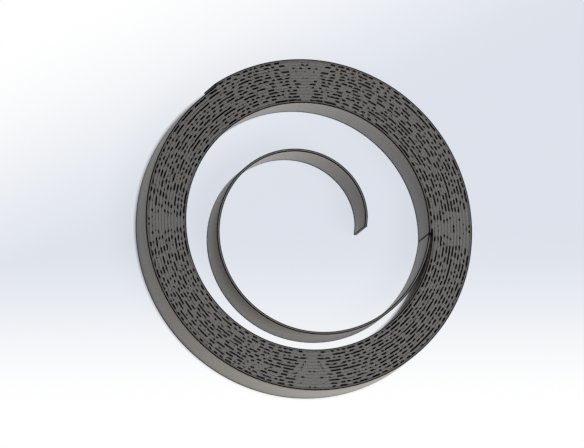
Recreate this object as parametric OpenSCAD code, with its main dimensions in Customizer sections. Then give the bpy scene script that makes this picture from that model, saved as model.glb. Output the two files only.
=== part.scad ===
// Flat spiral power spring: one steel strip wound on edge into a close pack.
// Its last turn is set free at a crease, stands off the pack and ends near the axis.
// Millimetres, +Z up. The spring lies flat on z = 0 with its winding axis on Z,
// and +X points at the crease where the free turn leaves the pack.

/* [Strip] */
// Thickness of the steel strip
thickness = 0.55; // [0.4:0.05:0.7]
// Width of the strip, which is the height of the spring as it lies
width = 9; // [5:0.5:14]
// Clear space between one turn and the next
turn_gap = 0.095; // [0.08:0.005:0.15]

/* [Wound pack] */
// Radius over the outer turn, at the cut of the outer end
outer_radius = 34; // [32:0.5:40]
// Whole turns in the pack, counted from the outer cut
whole_turns = 13; // [8:1:14]
// Part turn that follows them, in degrees, up to the crease
part_turn = 126.1; // [60:0.1:170]

/* [Free turn] */
// How much nearer the axis the free turn would come in one whole turn
free_pitch = 13.4; // [9:0.1:14]
// Angle about the axis from the crease to the bend of the inner end
free_sweep = 347.9; // [280:0.1:356]

/* [Inner end] */
// Length of the straight inner end
inner_end_length = 2; // [1:0.1:4]
// How far the inner end is bent in, in degrees
inner_end_bend = 5.5; // [2:0.5:12]

/* [Hidden] */

// Curves are drawn in flats of about this angle
flat_angle = 6;
full_turn = 360;

// Radii of the strip's mid-line where the pack starts, at the crease and at the inner bend
pitch = thickness + turn_gap;
pack_sweep = whole_turns * full_turn + part_turn;
pack_radius = outer_radius - thickness / 2;
crease_radius = spiral_radius(pack_radius, pitch, pack_sweep);
bend_radius = spiral_radius(crease_radius, free_pitch, free_sweep);

// Direction in which the straight inner end runs from its bend to its tip
inner_heading = -free_sweep - 90 - lead_in(free_pitch, bend_radius) - inner_end_bend;

// Mid-line of the whole strip from the outer cut to the inner tip
pack_line = [for (a = stations(pack_sweep, 0))
    polar(spiral_radius(pack_radius, pitch, a), part_turn - a)];
free_line = [for (a = stations(free_sweep, 1))
    polar(spiral_radius(crease_radius, free_pitch, a), -a)];
inner_tip = free_line[len(free_line) - 1] + polar(inner_end_length, inner_heading);
mid_line = concat(pack_line, free_line, [inner_tip]);

// Directions from each point of the mid-line to the next
legs = [for (i = [1 : len(mid_line) - 1]) unit(mid_line[i] - mid_line[i - 1])];

// Radius after turning inwards through an angle on an even spiral
function spiral_radius(start, drop, angle) = start - drop * angle / full_turn;

// Angle by which an even spiral heads in from a circle of the same radius
function lead_in(drop, radius) = atan2(drop / (2 * PI), radius);

// Even steps through a sweep, counted from the given step
function stations(sweep, first) =
    let (count = ceil(sweep / flat_angle))
    [for (i = [first : count]) sweep * i / count];

function polar(radius, angle) = radius * [cos(angle), sin(angle)];
function unit(v) = v / norm(v);
function reversed(list) = [for (i = [len(list) - 1 : -1 : 0]) list[i]];

// Sideways move of a point that shifts both legs meeting there by one unit
function mitre(i) =
    let (along = legs[max(i - 1, 0)] + legs[min(i, len(legs) - 1)])
    2 * [-along.y, along.x] / (along * along);

// Line that keeps the given distance from the mid-line, outwards when positive
function offset_line(distance) =
    [for (i = [0 : len(mid_line) - 1]) mid_line[i] + distance * mitre(i)];

// Edge-on outline of the strip: outer face, inner face and the two square-cut ends
module strip_outline() {
    outer_face = offset_line(thickness / 2);
    inner_face = offset_line(-thickness / 2);
    polygon(concat(outer_face, reversed(inner_face)));
}

// The whole spring, wound from one strip
module spring_strip() {
    color("dimgray")
        linear_extrude(height = width)
            strip_outline();
}

spring_strip();
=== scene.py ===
import math

import bmesh
import bpy
from mathutils import Matrix, Vector


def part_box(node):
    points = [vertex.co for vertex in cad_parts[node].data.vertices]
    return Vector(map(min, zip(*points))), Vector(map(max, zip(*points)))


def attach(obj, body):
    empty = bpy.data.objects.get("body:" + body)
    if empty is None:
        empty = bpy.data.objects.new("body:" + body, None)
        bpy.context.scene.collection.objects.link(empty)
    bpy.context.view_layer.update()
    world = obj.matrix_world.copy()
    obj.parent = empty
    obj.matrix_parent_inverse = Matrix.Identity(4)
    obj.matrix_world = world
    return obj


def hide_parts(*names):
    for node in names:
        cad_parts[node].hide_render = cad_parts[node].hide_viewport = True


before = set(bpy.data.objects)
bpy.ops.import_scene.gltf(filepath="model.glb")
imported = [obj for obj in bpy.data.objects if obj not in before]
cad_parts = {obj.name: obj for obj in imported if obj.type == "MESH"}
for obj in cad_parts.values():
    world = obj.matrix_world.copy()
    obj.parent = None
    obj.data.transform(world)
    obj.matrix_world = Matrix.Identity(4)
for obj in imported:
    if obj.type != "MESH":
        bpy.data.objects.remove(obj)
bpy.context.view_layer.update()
mm = 0.001
print("frame loaded")


# sRGB hex code to the linear colour that Blender's sockets take
def linearColour(hexCode):
    channels = [int(hexCode[i:i + 2], 16) / 255 for i in (1, 3, 5)]
    linear = [c / 12.92 if c <= 0.04045 else ((c + 0.055) / 1.055) ** 2.4 for c in channels]
    return linear + [1.0]


# one node with its settings and links; a key is a socket's name or number, or a node property
def addNode(tree, kind, settings=(), links=()):
    node = tree.nodes.new(kind)
    for key, value in dict(settings).items():
        if isinstance(key, int) or key in node.inputs:
            node.inputs[key].default_value = value
        else:
            setattr(node, key, value)
    for key, source in dict(links).items():
        tree.links.new(source, node.inputs[key])
    return node


# strip: the same sizes as the solid, plus the rounding of its long edges
strip = {
    "thickness": 0.55 * mm,
    "turnGap": 0.095 * mm,
    "outerRadius": 34 * mm,
    "wholeTurns": 13,
    "partTurn": math.radians(126.1),   # from the last whole turn to the crease
    "freePitch": 13.4 * mm,            # how much the free turn comes in per turn
    "freeSweep": math.radians(347.9),  # from the crease to the inner bend
    "innerEnd": 2 * mm,
    "innerBend": math.radians(5.5),
    "cornerRadius": 0.04 * mm,         # dressed corners of the slit edges
    "cornerSegments": 2,
    "cutRadius": 0.03 * mm,            # worn corners of the two square cuts
    "cutSegments": 2,
    "stepsPerTurn": 120,
}
# marks that the material reads
rubbed, rim = 1, -2              # rubbed by the next turn, or on the rim of the pack
creaseMark, cutMark = 1, 0.9     # folded, or cut off
lowCorner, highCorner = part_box("spring_strip")
stripWidth = highCorner[2] - lowCorner[2]


def leadIn(pitch, radius):
    return math.atan2(pitch / math.tau, radius)   # how far a spiral heads in from a circle


def spiralLength(radius, pitch, angle):
    return radius * angle - pitch / math.tau * angle ** 2 / 2


def heading(angle):
    return Vector((math.cos(angle), math.sin(angle), 0))


def vertsOf(geom):
    return [g for g in geom if isinstance(g, bmesh.types.BMVert)]


def edgesOf(geom):
    return [g for g in geom if isinstance(g, bmesh.types.BMEdge)]


def turnInPlace(bm, verts, angle):
    centre = sum((v.co for v in verts), Vector()) / len(verts)
    bmesh.ops.rotate(bm, verts=verts, cent=centre, matrix=Matrix.Rotation(angle, 3, "Z"))


def makeStrip():
    half = strip["thickness"] / 2
    pitch = strip["thickness"] + strip["turnGap"]
    startRadius = strip["outerRadius"] - half
    packSweep = strip["wholeTurns"] * math.tau + strip["partTurn"]
    creaseRadius = startRadius - pitch * packSweep / math.tau
    bendRadius = creaseRadius - strip["freePitch"] * strip["freeSweep"] / math.tau
    packLength = spiralLength(startRadius, pitch, packSweep)
    freeLength = spiralLength(creaseRadius, strip["freePitch"], strip["freeSweep"])

    # section: a rectangle with rounded corners, lying in XY
    bm = bmesh.new()
    across = bm.verts.layers.float.new("across")     # -1 on the inner face, 1 on the outer
    slit = bm.verts.layers.float.new("slit")         # 0 on the rolled faces, 1 on the slit edges
    along = bm.verts.layers.float.new("along")       # millimetres of strip from the outer cut
    gapTurn = bm.verts.layers.float.new("gapTurn")   # which turn's gap a side faces, alike on both sides of it
    rub = bm.verts.layers.float.new("rub")           # 1 where the next turn rubs, below 0 on the pack's rims
    fold = bm.verts.layers.float.new("fold")         # above 0 where the strip is creased or cut
    cut = bm.verts.layers.float.new("cut")           # 1 on the flats of the two square cuts
    bmesh.ops.create_grid(bm, x_segments=1, y_segments=1, size=0.5)
    bmesh.ops.scale(bm, verts=bm.verts, vec=(strip["thickness"], stripWidth, 1))
    bmesh.ops.bevel(bm, geom=bm.verts[:], offset=strip["cornerRadius"], offset_type="OFFSET",
                    segments=strip["cornerSegments"], profile=0.5, affect="VERTICES", material=-1)
    for v in bm.verts:
        sideways = max(abs(v.co.x) - half + strip["cornerRadius"], 0)
        upwards = max(abs(v.co.y) - stripWidth / 2 + strip["cornerRadius"], 0)
        v[slit] = math.atan2(upwards, sideways) / (math.pi / 2)
        v[across] = v.co.x / half
    bmesh.ops.delete(bm, geom=bm.faces[:], context="FACES_ONLY")

    # stand it up at the outer cut and wind the close turns inwards
    bmesh.ops.rotate(bm, verts=bm.verts, cent=(0, 0, 0), matrix=Matrix.Rotation(math.pi / 2, 3, "X"))
    bmesh.ops.translate(bm, verts=bm.verts, vec=(startRadius, 0, stripWidth / 2))
    bmesh.ops.rotate(bm, verts=bm.verts, cent=(0, 0, 0), matrix=Matrix.Rotation(strip["partTurn"], 3, "Z"))
    firstVerts, firstEdges = bm.verts[:], bm.edges[:]
    packSteps = round(packSweep / math.tau * strip["stepsPerTurn"])
    drop = heading(strip["partTurn"]) * (creaseRadius - startRadius) / packSteps
    wound = bmesh.ops.spin(bm, geom=firstVerts + firstEdges, cent=(0, 0, 0), axis=(0, 0, 1),
                           dvec=drop, angle=-packSweep, steps=packSteps)["geom_last"]
    for v in bm.verts:
        turned = (startRadius - v.co.xy.length + v[across] * half) / pitch * math.tau
        inGap = turned - math.tau if v[across] > 0 else turned
        v[along] = spiralLength(startRadius, pitch, turned) / mm
        v[gapTurn] = inGap / math.tau
        v[rub] = rubbed if 0 < inGap < packSweep - math.tau else rim
    packVerts = set(bm.verts)

    # crease, then the free turn
    creaseVerts = vertsOf(wound)
    meanLead = (leadIn(strip["freePitch"], creaseRadius) + leadIn(strip["freePitch"], bendRadius)) / 2
    turnInPlace(bm, creaseVerts, -meanLead)
    freeSteps = round(strip["freeSweep"] / math.tau * strip["stepsPerTurn"])
    drop = heading(0) * (bendRadius - creaseRadius) / freeSteps
    wound = bmesh.ops.spin(bm, geom=creaseVerts + edgesOf(wound), cent=(0, 0, 0), axis=(0, 0, 1),
                           dvec=drop, angle=-strip["freeSweep"], steps=freeSteps)["geom_last"]
    for v in bm.verts:
        if v not in packVerts:
            comeIn = creaseRadius - v.co.xy.length + v[across] * half / math.cos(meanLead)
            turned = comeIn / strip["freePitch"] * math.tau
            v[along] = (packLength + spiralLength(creaseRadius, strip["freePitch"], turned)) / mm
            v[rub] = 0

    # straight inner end, bent a little further in
    bendVerts = vertsOf(wound)
    bendLead = leadIn(strip["freePitch"], bendRadius)
    turnInPlace(bm, bendVerts, meanLead - bendLead - strip["innerBend"] / 2)
    innerTip = bmesh.ops.extrude_edge_only(bm, edges=edgesOf(wound))["geom"]
    innerHeading = heading(-strip["freeSweep"] - math.pi / 2 - bendLead - strip["innerBend"])
    bmesh.ops.translate(bm, verts=vertsOf(innerTip), vec=innerHeading * strip["innerEnd"])
    turnInPlace(bm, vertsOf(innerTip), -strip["innerBend"] / 2)
    for v in vertsOf(innerTip):
        v[along] = (packLength + freeLength + strip["innerEnd"]) / mm

    for v in creaseVerts:
        v[fold] = creaseMark
    for v in vertsOf(innerTip) + firstVerts:
        v[fold] = cutMark

    # long lines between the flat faces and their rounded corners keep the flats flat
    sameHeight, sameLine = 1e-7, 1e-4      # m, and of half the thickness
    for e in bm.edges:
        a, b = e.verts
        isLong = abs(a.co.z - b.co.z) < sameHeight and abs(a[across] - b[across]) < sameLine
        e.smooth = not (isLong and a[slit] in (0, 1))
    for e in bm.edges:
        if all(v[fold] == creaseMark for v in e.verts):
            e.smooth = False

    # close the two square cuts and wear their corners
    tipEdges = edgesOf(innerTip)
    for edges in (tipEdges, firstEdges):
        bmesh.ops.contextual_create(bm, geom=edges)
    worn = set(bmesh.ops.bevel(bm, geom=tipEdges + firstEdges, offset=strip["cutRadius"], offset_type="OFFSET",
                               segments=strip["cutSegments"], profile=0.5, affect="EDGES",
                               material=-1)["faces"])
    for e in bm.edges:
        if sum(f in worn for f in e.link_faces) == 1:   # a border of the wear
            e.smooth = False
    for f in bm.faces:
        if len(f.verts) > 4:          # only the two cuts have so many corners
            for v in f.verts:
                v[fold] = 0
                v[cut] = 1
    bmesh.ops.recalc_face_normals(bm, faces=bm.faces)
    for f in bm.faces:
        f.smooth = True
    mesh = bpy.data.meshes.new("woundStrip")
    bm.to_mesh(mesh)
    bm.free()
    piece = bpy.data.objects.new("woundStrip", mesh)
    bpy.context.collection.objects.link(piece)
    print("strip wound:", len(mesh.polygons), "faces,", round((packLength + freeLength) / mm), "mm long")
    return piece


# hardened and tempered spring steel strip, cold rolled and slit to width:
# satin grey faces with rolling lines along them, duller slit edges, and near-black painted shade in the corners,
# in the gaps between turns, along the rims and, as a painted contact shadow, at the foot
springSteel = {
    "rolledDark": "#8B867F",
    "rolledLight": "#A09B93",
    "temperTint": "#9C9283",      # faint straw tint left by tempering
    "slitDark": "#525150",
    "slitLight": "#5D5C5A",
    # painted shade: the near-black colour of the dark lines in the corners, the gaps between turns, the rims and
    # the foot
    "scale": "#060606",
    "lineLength": 60,             # mm along the strip
    "lineWidth": 0.4,             # mm; real rolling lines are near 0.05 and would not show
    "lineShift": 1.5,             # how unlike the lines on the two faces are
    "lineRange": (0.3, 0.7),      # noise levels of the darkest and the lightest line
    "tintLength": 90,             # mm
    "tintShift": 0.4,
    "tintPerMetre": 60,           # changes over the width of the strip
    "tintRange": (0.4, 0.75),
    "tintMost": 0.45,
    "grain": 0.25,                # mm; real slit fracture grain is finer
    "grainStretch": 0.4,          # drawn out along the strip
    "grainShift": 2,
    "slitRange": (0.3, 0.7),      # how far round the corner the slit edge's tone begins
    "paintedShadeRange": (0.45, 0.51),   # where the painted shade begins, from 0 at the middle of an edge to 1 at its corner
    "paintedShadeSpread": 0.16,          # how much nearer the middle it begins where nothing rubs
    "shadeDashLength": 1.05,          # mm, how long the painted shade in a rubbed corner runs unbroken
    "shadeDashShift": 1.2,            # how differently it broke from turn to turn
    "shadeDashBreak": (0.475, 0.505),  # noise levels between which it breaks off
    "upperRimShade": 0.3,            # mm, how far the painted shade along the upper rim comes down the faces
    "upperFade": 0.7,
    "footContactShade": 0.7,            # mm, and how far the painted contact shadow at the foot comes up them
    "lowerFade": 0.8,
    "wedgeTurn": 2.6,             # degrees from the crease to the first of four wedges where the painted shade is lighter
    "wedgeInside": 24.6,          # mm from the axis, where a wedge comes to a point
    "wedgeSlant": 0.48,           # how fast the wedge widens outwards
    "wedgeSoft": 0.5,             # mm, half the width of its soft border
    "wedgeLightens": 0.2,            # how much of the painted shade a wedge takes off
    "creaseShadeRange": (0.78, 0.88),    # painted shade: the dark line along the crease and round the cuts
    "creaseShadeDepth": 0.9,
    "metal": (0.25, 0.9),         # bare steel under its oxide film, and the painted shade
    "gloss": (0.36, 0.52),        # roughness between and on the rolling lines
    "shadeRoughness": 0.8,
    "reliefStrength": 0.15,
    "reliefDepth": 0.02,          # mm
    "filmShine": 0.1,             # the film itself hardly shines
}


def makeSpringSteel():
    s = springSteel
    material = bpy.data.materials.new("temperedSpringStrip")
    material.use_nodes = True
    tree = material.node_tree
    shader = tree.nodes["Principled BSDF"]
    place = addNode(tree, "ShaderNodeTexCoord")
    height = addNode(tree, "ShaderNodeSeparateXYZ", links={0: place.outputs["Object"]})
    read = {name: addNode(tree, "ShaderNodeAttribute", {"attribute_name": name}).outputs["Fac"]
            for name in ("along", "across", "slit", "gapTurn", "rub", "fold", "cut")}
    onStrip = addNode(tree, "ShaderNodeCombineXYZ", links={
        "X": read["along"], "Y": read["across"], "Z": height.outputs["Z"]})

    # rolling lines: long streaks that follow the strip
    lineMap = addNode(tree, "ShaderNodeMapping", {
        "Scale": (1 / s["lineLength"], s["lineShift"], 1 / (s["lineWidth"] * mm))},
        {"Vector": onStrip.outputs[0]})
    lines = addNode(tree, "ShaderNodeTexNoise", {"Scale": 1, "Detail": 3, "Roughness": 0.6},
                    {"Vector": lineMap.outputs[0]})
    streaks = addNode(tree, "ShaderNodeMapRange", {
        "From Min": s["lineRange"][0], "From Max": s["lineRange"][1]}, {"Value": lines.outputs["Fac"]})
    rolled = addNode(tree, "ShaderNodeMix", {
        "data_type": "RGBA", 6: linearColour(s["rolledDark"]), 7: linearColour(s["rolledLight"])},
        {0: streaks.outputs[0]})

    # temper tint: comes and goes along the strip
    tintMap = addNode(tree, "ShaderNodeMapping", {
        "Scale": (1 / s["tintLength"], s["tintShift"], s["tintPerMetre"])}, {"Vector": onStrip.outputs[0]})
    tintNoise = addNode(tree, "ShaderNodeTexNoise", {"Scale": 1, "Detail": 1}, {"Vector": tintMap.outputs[0]})
    tintAmount = addNode(tree, "ShaderNodeMapRange", {
        "From Min": s["tintRange"][0], "From Max": s["tintRange"][1], "To Max": s["tintMost"]},
        {"Value": tintNoise.outputs["Fac"]})
    tinted = addNode(tree, "ShaderNodeMix", {"data_type": "RGBA", 7: linearColour(s["temperTint"])},
                     {0: tintAmount.outputs[0], 6: rolled.outputs[2]})

    # slit edges: duller and grainy
    grainMap = addNode(tree, "ShaderNodeMapping", {
        "Scale": (s["grainStretch"] / s["grain"], s["grainShift"], 1 / (s["grain"] * mm))},
        {"Vector": onStrip.outputs[0]})
    grain = addNode(tree, "ShaderNodeTexNoise", {"Scale": 1, "Detail": 2}, {"Vector": grainMap.outputs[0]})
    slitTone = addNode(tree, "ShaderNodeMix", {
        "data_type": "RGBA", 6: linearColour(s["slitDark"]), 7: linearColour(s["slitLight"])},
        {0: grain.outputs["Fac"]})
    onSlit = addNode(tree, "ShaderNodeMapRange", {
        "From Min": s["slitRange"][0], "From Max": s["slitRange"][1]}, {"Value": read["slit"]})
    steel = addNode(tree, "ShaderNodeMix", {"data_type": "RGBA"}, {
        0: onSlit.outputs[0], 6: tinted.outputs[2], 7: slitTone.outputs[2]})

    # painted shade along the corners, on the slit edges and on the faces, standing for the shade in the gaps
    # between turns, along the rims and at the foot; narrower where turns rub
    fromMiddle = addNode(tree, "ShaderNodeMath", {"operation": "ABSOLUTE"}, {0: read["across"]})
    wider = addNode(tree, "ShaderNodeMath", {
        "operation": "MULTIPLY_ADD", 1: -s["paintedShadeSpread"], 2: s["paintedShadeSpread"]}, {0: read["rub"]})
    reach = addNode(tree, "ShaderNodeMath", {"operation": "ADD"}, {0: fromMiddle.outputs[0], 1: wider.outputs[0]})
    onEdge = addNode(tree, "ShaderNodeMapRange", {
        "From Min": s["paintedShadeRange"][0], "From Max": s["paintedShadeRange"][1]}, {"Value": reach.outputs[0]})
    upper, lower = s["upperRimShade"] * mm, s["footContactShade"] * mm
    downFace = addNode(tree, "ShaderNodeMapRange", {
        "From Min": stripWidth - upper, "From Max": stripWidth - upper * s["upperFade"]},
        {"Value": height.outputs["Z"]})
    # painted contact shadow: a dark band up from the foot of the strip
    upFace = addNode(tree, "ShaderNodeMapRange", {"From Min": lower, "From Max": lower * s["lowerFade"]},
                     {"Value": height.outputs["Z"]})
    nearEdge = addNode(tree, "ShaderNodeMath", {"operation": "MAXIMUM"}, {
        0: downFace.outputs[0], 1: upFace.outputs[0]})
    nearAny = addNode(tree, "ShaderNodeMath", {"operation": "MAXIMUM"}, {0: nearEdge.outputs[0], 1: read["cut"]})
    inCorner = addNode(tree, "ShaderNodeMath", {"operation": "MULTIPLY"}, {
        0: onEdge.outputs[0], 1: nearAny.outputs[0]})

    # four wedges where the painted shade is lighter; elsewhere the painted shade between rubbing turns is broken
    # into dashes, differently in each gap
    byWedges = addNode(tree, "ShaderNodeMapping", {"Rotation": (0, 0, -math.radians(s["wedgeTurn"]))},
                      {"Vector": place.outputs["Object"]})
    offAxes = addNode(tree, "ShaderNodeVectorMath", {"operation": "ABSOLUTE"}, {0: byWedges.outputs[0]})
    sides = addNode(tree, "ShaderNodeSeparateXYZ", links={0: offAxes.outputs[0]})
    outwards = addNode(tree, "ShaderNodeMath", {"operation": "MAXIMUM"}, {
        0: sides.outputs["X"], 1: sides.outputs["Y"]})
    sideways = addNode(tree, "ShaderNodeMath", {"operation": "MINIMUM"}, {
        0: sides.outputs["X"], 1: sides.outputs["Y"]})
    pastWedge = addNode(tree, "ShaderNodeMath", {"operation": "MULTIPLY_ADD", 1: -s["wedgeSlant"]}, {
        0: outwards.outputs[0], 2: sideways.outputs[0]})
    wedge, soft = -s["wedgeSlant"] * s["wedgeInside"] * mm, s["wedgeSoft"] * mm
    shadeTakenOff = addNode(tree, "ShaderNodeMapRange", {
        "From Min": wedge + soft, "From Max": wedge - soft, "To Max": s["wedgeLightens"]},
        {"Value": pastWedge.outputs[0]})
    inGap = addNode(tree, "ShaderNodeCombineXYZ", links={"X": pastWedge.outputs[0], "Y": read["gapTurn"]})
    dashMap = addNode(tree, "ShaderNodeMapping", {"Scale": (1 / (s["shadeDashLength"] * mm), s["shadeDashShift"], 1)},
                      {"Vector": inGap.outputs[0]})
    dashNoise = addNode(tree, "ShaderNodeTexNoise", {"Scale": 1, "Detail": 0}, {"Vector": dashMap.outputs[0]})
    shadeLeft = addNode(tree, "ShaderNodeMath", {"operation": "SUBTRACT"}, {
        0: dashNoise.outputs["Fac"], 1: shadeTakenOff.outputs[0]})
    dashes = addNode(tree, "ShaderNodeMapRange", {
        "From Min": s["shadeDashBreak"][0], "From Max": s["shadeDashBreak"][1]}, {"Value": shadeLeft.outputs[0]})
    unbroken = addNode(tree, "ShaderNodeMix", {"data_type": "FLOAT", 2: 1.0}, {
        0: read["rub"], 3: dashes.outputs[0]})
    # painted shade: dark lines in the corners and gaps between turns, broken into dashes where turns rub
    cornerShade = addNode(tree, "ShaderNodeMath", {"operation": "MULTIPLY"}, {
        0: inCorner.outputs[0], 1: unbroken.outputs[0]})
    # painted shade: a dark line along the crease and round the edges of the two square cuts
    creaseAndCutShade = addNode(tree, "ShaderNodeMapRange", {
        "From Min": s["creaseShadeRange"][0], "From Max": s["creaseShadeRange"][1], "To Max": s["creaseShadeDepth"]},
        {"Value": read["fold"]})
    dark = addNode(tree, "ShaderNodeMath", {"operation": "MAXIMUM"}, {
        0: cornerShade.outputs[0], 1: creaseAndCutShade.outputs[0]})
    colour = addNode(tree, "ShaderNodeMix", {"data_type": "RGBA", 7: linearColour(s["scale"])}, {
        0: dark.outputs[0], 6: steel.outputs[2]})
    tree.links.new(colour.outputs[2], shader.inputs["Base Color"])

    # the satin faces scatter most of the light through their oxide film; the painted shade is rough and nearly a
    # metal, so that it stays dark
    metal = addNode(tree, "ShaderNodeMapRange", {"To Min": s["metal"][0], "To Max": s["metal"][1]},
                    {"Value": dark.outputs[0]})
    tree.links.new(metal.outputs[0], shader.inputs["Metallic"])
    gloss = addNode(tree, "ShaderNodeMapRange", {"To Min": s["gloss"][0], "To Max": s["gloss"][1]},
                    {"Value": lines.outputs["Fac"]})
    rough = addNode(tree, "ShaderNodeMix", {"data_type": "FLOAT", 3: s["shadeRoughness"]}, {
        0: dark.outputs[0], 2: gloss.outputs[0]})
    tree.links.new(rough.outputs[0], shader.inputs["Roughness"])
    relief = addNode(tree, "ShaderNodeBump", {
        "Strength": s["reliefStrength"], "Distance": s["reliefDepth"] * mm}, {"Height": lines.outputs["Fac"]})
    tree.links.new(relief.outputs[0], shader.inputs["Normal"])
    shader.inputs["Specular IOR Level"].default_value = s["filmShine"]
    return material


woundStrip = makeStrip()
woundStrip.data.materials.append(makeSpringSteel())
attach(woundStrip, "root")
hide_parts("spring_strip")
print("strip finished")

# camera: the photo's angle, far off with a long lens because the photo shows no perspective
pixel = 0.2 * mm                              # what one pixel of the picture covers
shot = {
    "azimuth": math.radians(-47.97),
    "elevation": math.radians(72.03),
    "roll": math.radians(50.6),
    "distance": 3.0,
    "frameWidth": 584 * pixel,
    "axisRight": 16.685 * pixel,              # where the winding axis stands from the frame's centre
    "axisUp": -1.09 * pixel,
    "sensor": 36,
    "farthest": 20,
}
facing = (Matrix.Rotation(shot["azimuth"], 3, "Z") @ Matrix.Rotation(math.pi / 2 - shot["elevation"], 3, "X")
          @ Matrix.Rotation(shot["roll"], 3, "Z"))
right, up, back = facing.col
camera = bpy.data.objects.new("camera", bpy.data.cameras.new("camera"))
bpy.context.collection.objects.link(camera)
aim = Vector((0, 0, highCorner[2])) - right * shot["axisRight"] - up * shot["axisUp"]
camera.matrix_world = Matrix.Translation(aim + back * shot["distance"]) @ facing.to_4x4()
camera.data.sensor_width = shot["sensor"]
camera.data.lens = shot["sensor"] * shot["distance"] / shot["frameWidth"]
camera.data.clip_end = shot["farthest"]
bpy.context.scene.camera = camera
imageUp = Vector((up.x, up.y, 0)).normalized()      # the floor direction that runs up the picture
imageRight = Vector((right.x, right.y, 0)).normalized()

# floor: matt card, pale lavender grey, with painted light: whiter towards the picture's foot and its upper left
# corner, as pools of lamplight
floorCard = {
    "halfSize": 2.5,
    "drop": 0.02 * mm,
    "card": "#929499",
    "seen": "#E2E7F1",
    "seenWhite": "#FFFFFF",
    "seenShare": 0.87,                # of what the camera and reflections see, so that shadows stay faint
    "packInside": 24.8 * mm,          # under the close turns the card stays dark
    "packOutside": 34 * mm,
    "packSoft": 1 * mm,
    "footFade": (2 * mm, -36 * mm),   # up the picture, where the white begins and where it is full
    "cornerFade": (10 * mm, 62 * mm),  # the same towards the corner
    "cornerUp": 0.89,
    "cornerLeft": 0.45,
    "roughness": 0.95,
    "shine": 0.1,
}
bm = bmesh.new()
bmesh.ops.create_grid(bm, x_segments=1, y_segments=1, size=floorCard["halfSize"])
bmesh.ops.translate(bm, verts=bm.verts, vec=(0, 0, -floorCard["drop"]))
floorMesh = bpy.data.meshes.new("floor")
bm.to_mesh(floorMesh)
bm.free()
floor = bpy.data.objects.new("floor", floorMesh)
bpy.context.collection.objects.link(floor)
card = bpy.data.materials.new("mattCard")
card.use_nodes = True
cardTree = card.node_tree
cardShader = cardTree.nodes["Principled BSDF"]
cardShader.inputs["Base Color"].default_value = linearColour(floorCard["card"])
cardShader.inputs["Roughness"].default_value = floorCard["roughness"]
cardShader.inputs["Specular IOR Level"].default_value = floorCard["shine"]
onCard = addNode(cardTree, "ShaderNodeTexCoord")
upPicture = addNode(cardTree, "ShaderNodeVectorMath", {"operation": "DOT_PRODUCT", 1: imageUp},
                    {0: onCard.outputs["Object"]})
towardsFoot = addNode(cardTree, "ShaderNodeMapRange", {
    "interpolation_type": "SMOOTHSTEP",
    "From Min": floorCard["footFade"][0], "From Max": floorCard["footFade"][1]},
    {"Value": upPicture.outputs["Value"]})
diagonal = addNode(cardTree, "ShaderNodeVectorMath", {
    "operation": "DOT_PRODUCT", 1: imageUp * floorCard["cornerUp"] - imageRight * floorCard["cornerLeft"]},
    {0: onCard.outputs["Object"]})
towardsCorner = addNode(cardTree, "ShaderNodeMapRange", {
    "interpolation_type": "SMOOTHSTEP",
    "From Min": floorCard["cornerFade"][0], "From Max": floorCard["cornerFade"][1]},
    {"Value": diagonal.outputs["Value"]})
paintedLightPool = addNode(cardTree, "ShaderNodeMath", {"operation": "MAXIMUM"}, {
    0: towardsFoot.outputs[0], 1: towardsCorner.outputs[0]})
seenColour = addNode(cardTree, "ShaderNodeMix", {
    "data_type": "RGBA", 6: linearColour(floorCard["seen"]), 7: linearColour(floorCard["seenWhite"])},
    {0: paintedLightPool.outputs[0]})
fromAxis = addNode(cardTree, "ShaderNodeVectorMath", {"operation": "LENGTH"}, {0: onCard.outputs["Object"]})
packMiddle = (floorCard["packInside"] + floorCard["packOutside"]) / 2
fromPack = addNode(cardTree, "ShaderNodeMath", {"operation": "SUBTRACT", 1: packMiddle},
                   {0: fromAxis.outputs["Value"]})
offPack = addNode(cardTree, "ShaderNodeMath", {"operation": "ABSOLUTE"}, {0: fromPack.outputs[0]})
packHalf = floorCard["packOutside"] - packMiddle
inOpen = addNode(cardTree, "ShaderNodeMapRange", {
    "From Min": packHalf - floorCard["packSoft"], "From Max": packHalf}, {"Value": offPack.outputs[0]})
shareHere = addNode(cardTree, "ShaderNodeMapRange", {"To Min": floorCard["seenShare"], "To Max": 1.0},
                    {"Value": paintedLightPool.outputs[0]})
openShare = addNode(cardTree, "ShaderNodeMath", {"operation": "MULTIPLY"}, {
    0: shareHere.outputs[0], 1: inOpen.outputs[0]})
rays = addNode(cardTree, "ShaderNodeLightPath")
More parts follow.
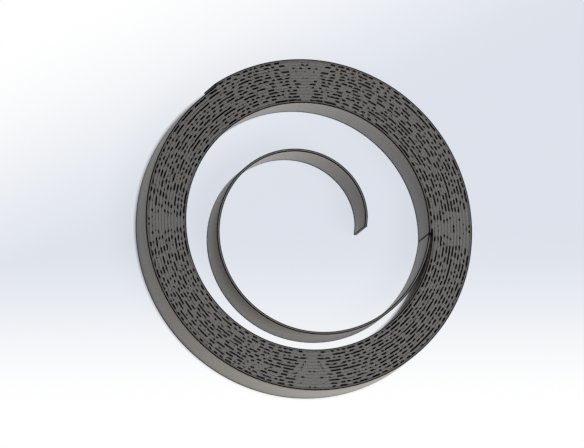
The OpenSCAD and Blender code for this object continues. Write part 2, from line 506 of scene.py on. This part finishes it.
seenBy = addNode(cardTree, "ShaderNodeMath", {"operation": "MAXIMUM"}, {
    0: rays.outputs["Is Camera Ray"], 1: rays.outputs["Is Glossy Ray"]})
seenByAll = addNode(cardTree, "ShaderNodeMath", {"operation": "MAXIMUM"}, {
    0: seenBy.outputs[0], 1: rays.outputs["Is Transmission Ray"]})
share = addNode(cardTree, "ShaderNodeMath", {"operation": "MULTIPLY"}, {
    0: seenByAll.outputs[0], 1: openShare.outputs[0]})
plainLit = addNode(cardTree, "ShaderNodeEmission", {"Strength": 1.0}, {"Color": seenColour.outputs[2]})
mixed = addNode(cardTree, "ShaderNodeMixShader", links={
    0: share.outputs[0], 1: cardShader.outputs[0], 2: plainLit.outputs[0]})
cardTree.links.new(mixed.outputs[0], cardTree.nodes["Material Output"].inputs["Surface"])
floorMesh.materials.append(card)

# light: a pale room, a broad soft box towards the picture's lower right and a weaker one towards its head
light = {"room": "#E8EAF2", "roomStrength": 0.2, "boxDistance": 0.9}
softBoxes = [
    {"name": "softBoxFoot", "turn": -47, "rise": 60, "watts": 13.3, "size": (0.6, 0.4)},
    {"name": "softBoxHead", "turn": 90, "rise": 55, "watts": 1.0, "size": (0.7, 0.4)},
]
world = bpy.data.worlds.new("paleRoom")
bpy.context.scene.world = world
world.use_nodes = True
room = world.node_tree.nodes["Background"]
room.inputs["Color"].default_value = linearColour(light["room"])
room.inputs["Strength"].default_value = light["roomStrength"]
for b in softBoxes:
    lamp = bpy.data.lights.new(b["name"], "AREA")
    lamp.shape = "RECTANGLE"
    lamp.size, lamp.size_y = b["size"]
    lamp.energy = b["watts"]
    box = bpy.data.objects.new(b["name"], lamp)
    turn, rise = math.radians(b["turn"]), math.radians(b["rise"])
    level = imageRight * math.cos(turn) + imageUp * math.sin(turn)
    direction = level * math.cos(rise) + Vector((0, 0, math.sin(rise)))
    box.location = direction * light["boxDistance"]
    box.rotation_mode = "QUATERNION"
    box.rotation_quaternion = direction.to_track_quat("Z", "Y")
    bpy.context.collection.objects.link(box)
print("stage set")

bpy.context.scene.view_settings.view_transform = "Standard"
